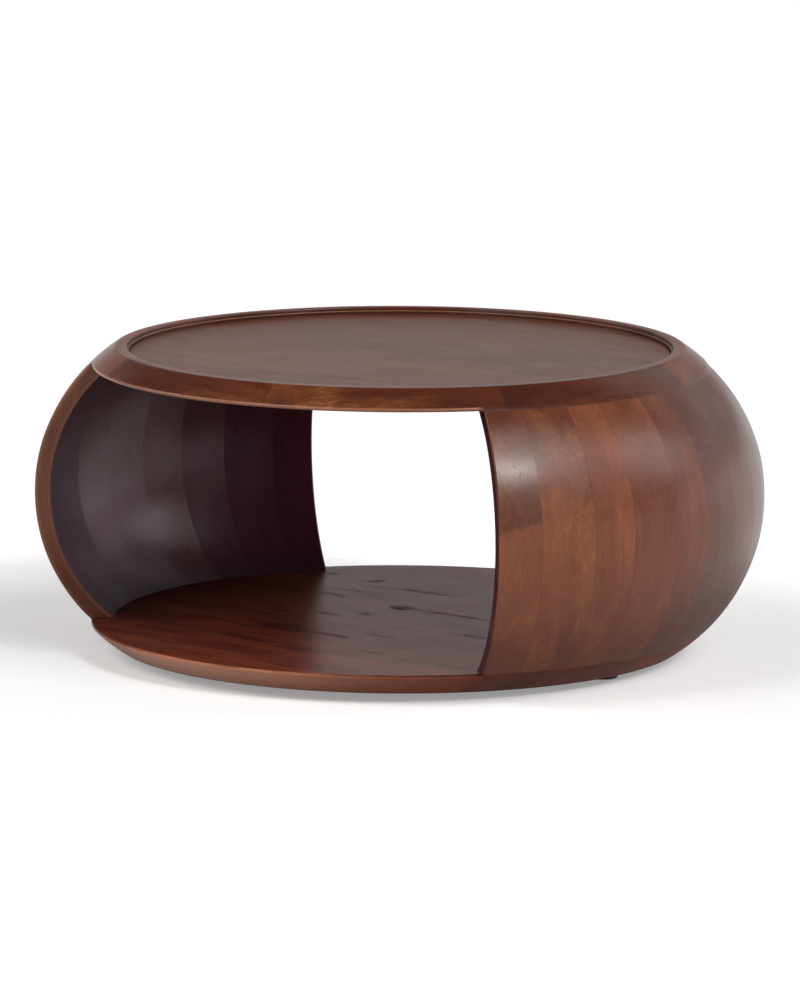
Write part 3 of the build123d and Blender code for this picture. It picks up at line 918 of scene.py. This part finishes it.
screws = {
    "filmCells": 600.0,        # per metre
    "filmDetail": 3.0,
    "ramp": [(0.3, "#A9A89F"), (0.7, "#D2D1CC")],
    "roughness": 0.35,
    "roughnessSpread": 0.2,
}


# zinc-plated steel: pale metal with a faint cloudy passivated film, 1.7 mm
def zincPlated(name, values):
    material, tree = newMaterial(name)
    here = addNode(tree, "TexCoord").outputs["Object"]
    film = addNode(tree, "TexNoise", {
        "Vector": here, "Scale": values["filmCells"], "Detail": values["filmDetail"]})
    colour = addNode(tree, "ValToRGB", (film,), values["ramp"])
    spread = values["roughnessSpread"]
    rough = addNode(tree, "Math", (film, spread, values["roughness"] - spread / 2),
                    operation="MULTIPLY_ADD")
    shader = addNode(tree, "BsdfPrincipled", {
        "Base Color": colour, "Roughness": rough, "Metallic": 1.0})
    addNode(tree, "OutputMaterial", {"Surface": shader})
    return material


dowels = {
    "fleckCells": 700.0,       # per metre
    "fleckDetail": 2.0,
    "ramp": [(0.3, "#B98C5F"), (0.6, "#DDBB90")],
    "roughness": 0.6,
}


# plain turned beech, unfinished: matt, pale pink-brown, with small darker flecks of 1.4 mm
def plainBeech(name, values):
    material, tree = newMaterial(name)
    here = addNode(tree, "TexCoord").outputs["Object"]
    fleck = addNode(tree, "TexNoise", {
        "Vector": here, "Scale": values["fleckCells"], "Detail": values["fleckDetail"]})
    colour = addNode(tree, "ValToRGB", (fleck,), values["ramp"])
    shader = addNode(tree, "BsdfPrincipled", {"Base Color": colour, "Roughness": values["roughness"]})
    addNode(tree, "OutputMaterial", {"Surface": shader})
    return material


beech, zinc = plainBeech("plain beech", dowels), zincPlated("zinc-plated steel", screws)
for node in ("wall_dowels_lower", "wall_dowels_upper", "base_board_dowels", "top_board_dowels",
             "rim_dowels", "foot_screws"):
    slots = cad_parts[node].data.materials
    slots.clear()
    slots.append(zinc if node == "foot_screws" else beech)
print("feet and fastenings ready")


studio = {
    "floorReach": 60.0,
    "floorColour": "#E4E4E3",
    "floorGlow": 0.28,               # its own light, for the rays that see it as a backdrop
    "floorToOtherRays": "#959390",
    "lightColour": "#FFF1F3",
    "wallLight": 0.44,               # the dim walls round the studio, up to where they end overhead
    "ceilingLight": 0.07,
    "wallEnds": (0.22, 0.50),        # height of the view line there, from 0, level, to 1, straight up
    "horizonEnds": (0.06, 0.10),     # the backdrop is white along the horizon and fades between these
    "lampDistance": 4.0,
}


# a flat floor that takes the shadow: brighter, with a glow of its own, for camera, gloss and glass,
# and clear from below
def makeFloor():
    reach = studio["floorReach"]
    mesh = bpy.data.meshes.new("floor")
    mesh.from_pydata([(-reach, -reach, 0), (reach, -reach, 0), (reach, reach, 0), (-reach, reach, 0)],
                     [], [(0, 1, 2, 3)])
    floor = bpy.data.objects.new("floor", mesh)
    bpy.context.scene.collection.objects.link(floor)
    material, tree = newMaterial("pale studio floor")
    ray = addNode(tree, "LightPath").outputs
    seen = addNode(tree, "Math", (ray["Is Camera Ray"], ray["Is Glossy Ray"]), operation="ADD")
    seen = addNode(tree, "Math", (seen, ray["Is Transmission Ray"]), operation="ADD", use_clamp=True)
    colour = addNode(tree, "Mix", {
        0: seen, 6: fromHex(studio["floorToOtherRays"]), 7: fromHex(studio["floorColour"])},
        data_type="RGBA")
    matt = addNode(tree, "BsdfDiffuse", {"Color": colour})
    glow = addNode(tree, "Math", (seen, studio["floorGlow"]), operation="MULTIPLY")
    glow = addNode(tree, "Emission", {"Color": (1, 1, 1, 1), "Strength": glow})
    pale = addNode(tree, "AddShader", (matt, glow))
    below = addNode(tree, "NewGeometry").outputs["Backfacing"]
    both = addNode(tree, "MixShader", (below, pale, addNode(tree, "BsdfTransparent")))
    addNode(tree, "OutputMaterial", {"Surface": both})
    mesh.materials.append(material)


# the studio round the table: a white band along the horizon, dim walls above it and a darker ceiling
def makeWorld():
    world = bpy.data.worlds.new("studio")
    bpy.context.scene.world = world
    world.use_nodes = True
    tree = world.node_tree
    tree.nodes.clear()
    rise = addNode(tree, "SeparateXYZ", (addNode(tree, "TexCoord").outputs["Generated"],)).outputs["Z"]
    level = addNode(tree, "MapRange", {
        "Value": rise, "From Min": studio["wallEnds"][0], "From Max": studio["wallEnds"][1],
        "To Min": studio["wallLight"], "To Max": studio["ceilingLight"]},
        interpolation_type="SMOOTHSTEP")
    white = addNode(tree, "MapRange", {
        "Value": rise, "From Min": studio["horizonEnds"][0], "From Max": studio["horizonEnds"][1],
        "To Min": 1.0, "To Max": 0.0}, interpolation_type="SMOOTHSTEP")
    level = addNode(tree, "Math", (white, 1 - studio["wallLight"], level), operation="MULTIPLY_ADD")
    colour = addNode(tree, "Mix", {0: white, 6: fromHex(studio["lightColour"]), 7: (1, 1, 1, 1)},
                     data_type="RGBA")
    light = addNode(tree, "Background", {"Color": colour, "Strength": level})
    addNode(tree, "OutputWorld", {"Surface": light})


camera = {
    "distance": 9.1335,      # from the table's axis, level
    "height": 1.716,
    "azimuth": 37.3,         # round from -Y towards +X
    "pitch": 9.514,
    "roll": 0.22,
    "lens": 270.3,
    "sensor": 36.0,          # millimetres along the picture's long side
    "shift": 0.0005,
    "clip": (0.1, 200.0),
}


# unit vector to an azimuth from -Y towards +X and an elevation above the horizon, both in degrees
def directionOf(azimuth, elevation):
    a, e = math.radians(azimuth), math.radians(elevation)
    return np.array([math.sin(a) * math.cos(e), -math.cos(a) * math.cos(e), math.sin(e)])


# looks back along the direction of its azimuth and pitch, turned by its roll
def makeCamera():
    back = directionOf(camera["azimuth"], camera["pitch"])
    right = np.cross((0, 0, 1), back)
    right /= np.linalg.norm(right)
    up = np.cross(back, right)
    roll = math.radians(camera["roll"])
    right, up = (right * math.cos(roll) + up * math.sin(roll),
                 up * math.cos(roll) - right * math.sin(roll))
    level = directionOf(camera["azimuth"], 0) * camera["distance"]
    data = bpy.data.cameras.new("camera")
    data.lens, data.sensor_width, data.shift_x = camera["lens"], camera["sensor"], camera["shift"]
    data.clip_start, data.clip_end = camera["clip"]
    view = bpy.data.objects.new("camera", data)
    view.matrix_world = Matrix([
        (right[0], up[0], back[0], level[0]), (right[1], up[1], back[1], level[1]),
        (right[2], up[2], back[2], camera["height"]), (0, 0, 0, 1)])
    bpy.context.scene.collection.objects.link(view)
    bpy.context.scene.camera = view


# far soft lamps: degrees right of the camera, elevation, width in degrees, strength, colour
lamps = {
    "keyLamp": (42, 40, 9, 0.84, "#FFFFFF"),
    "keyGlowLamp": (48, 46, 34, 0.92, "#FFFFFF"),
    "frontLamp": (50, 30, 50, 0.30, "#FFFFFF"),
    "middleLamp": (75, 38, 32, 0.20, "#FFFFFF"),
    "sideLamp": (98, 28, 23, 0.40, "#FFFFFF"),
    "sideLowLamp": (115, 8, 34, 0.22, "#F6E2F4"),
    "rearLamp": (140, 29, 34, 0.15, "#FFFFFF"),
    "leftLamp": (-60, 48, 30, 0.95, "#FFFFFF"),
    "leftBackLamp": (-100, 28, 30, 0.70, "#FFFFFF"),
    "leftLowLamp": (-40, 4, 30, 0.34, "#FFFFFF"),
}


# each lamp shines from its direction as a round disc of its width
def makeLamps():
    for name, (turn, rise, width, strength, colour) in lamps.items():
        data = bpy.data.lights.new(name, "SUN")
        data.energy, data.angle = strength, math.radians(width)
        data.color = fromHex(colour)[:3]
        lamp = bpy.data.objects.new(name, data)
        toLamp = Vector(directionOf(camera["azimuth"] + turn, rise))
        lamp.location = toLamp * studio["lampDistance"]
        lamp.rotation_euler = toLamp.to_track_quat("Z", "Y").to_euler()
        bpy.context.scene.collection.objects.link(lamp)


makeFloor()
makeWorld()
makeCamera()
makeLamps()
bpy.context.scene.view_settings.view_transform = "Standard"
print("studio ready")
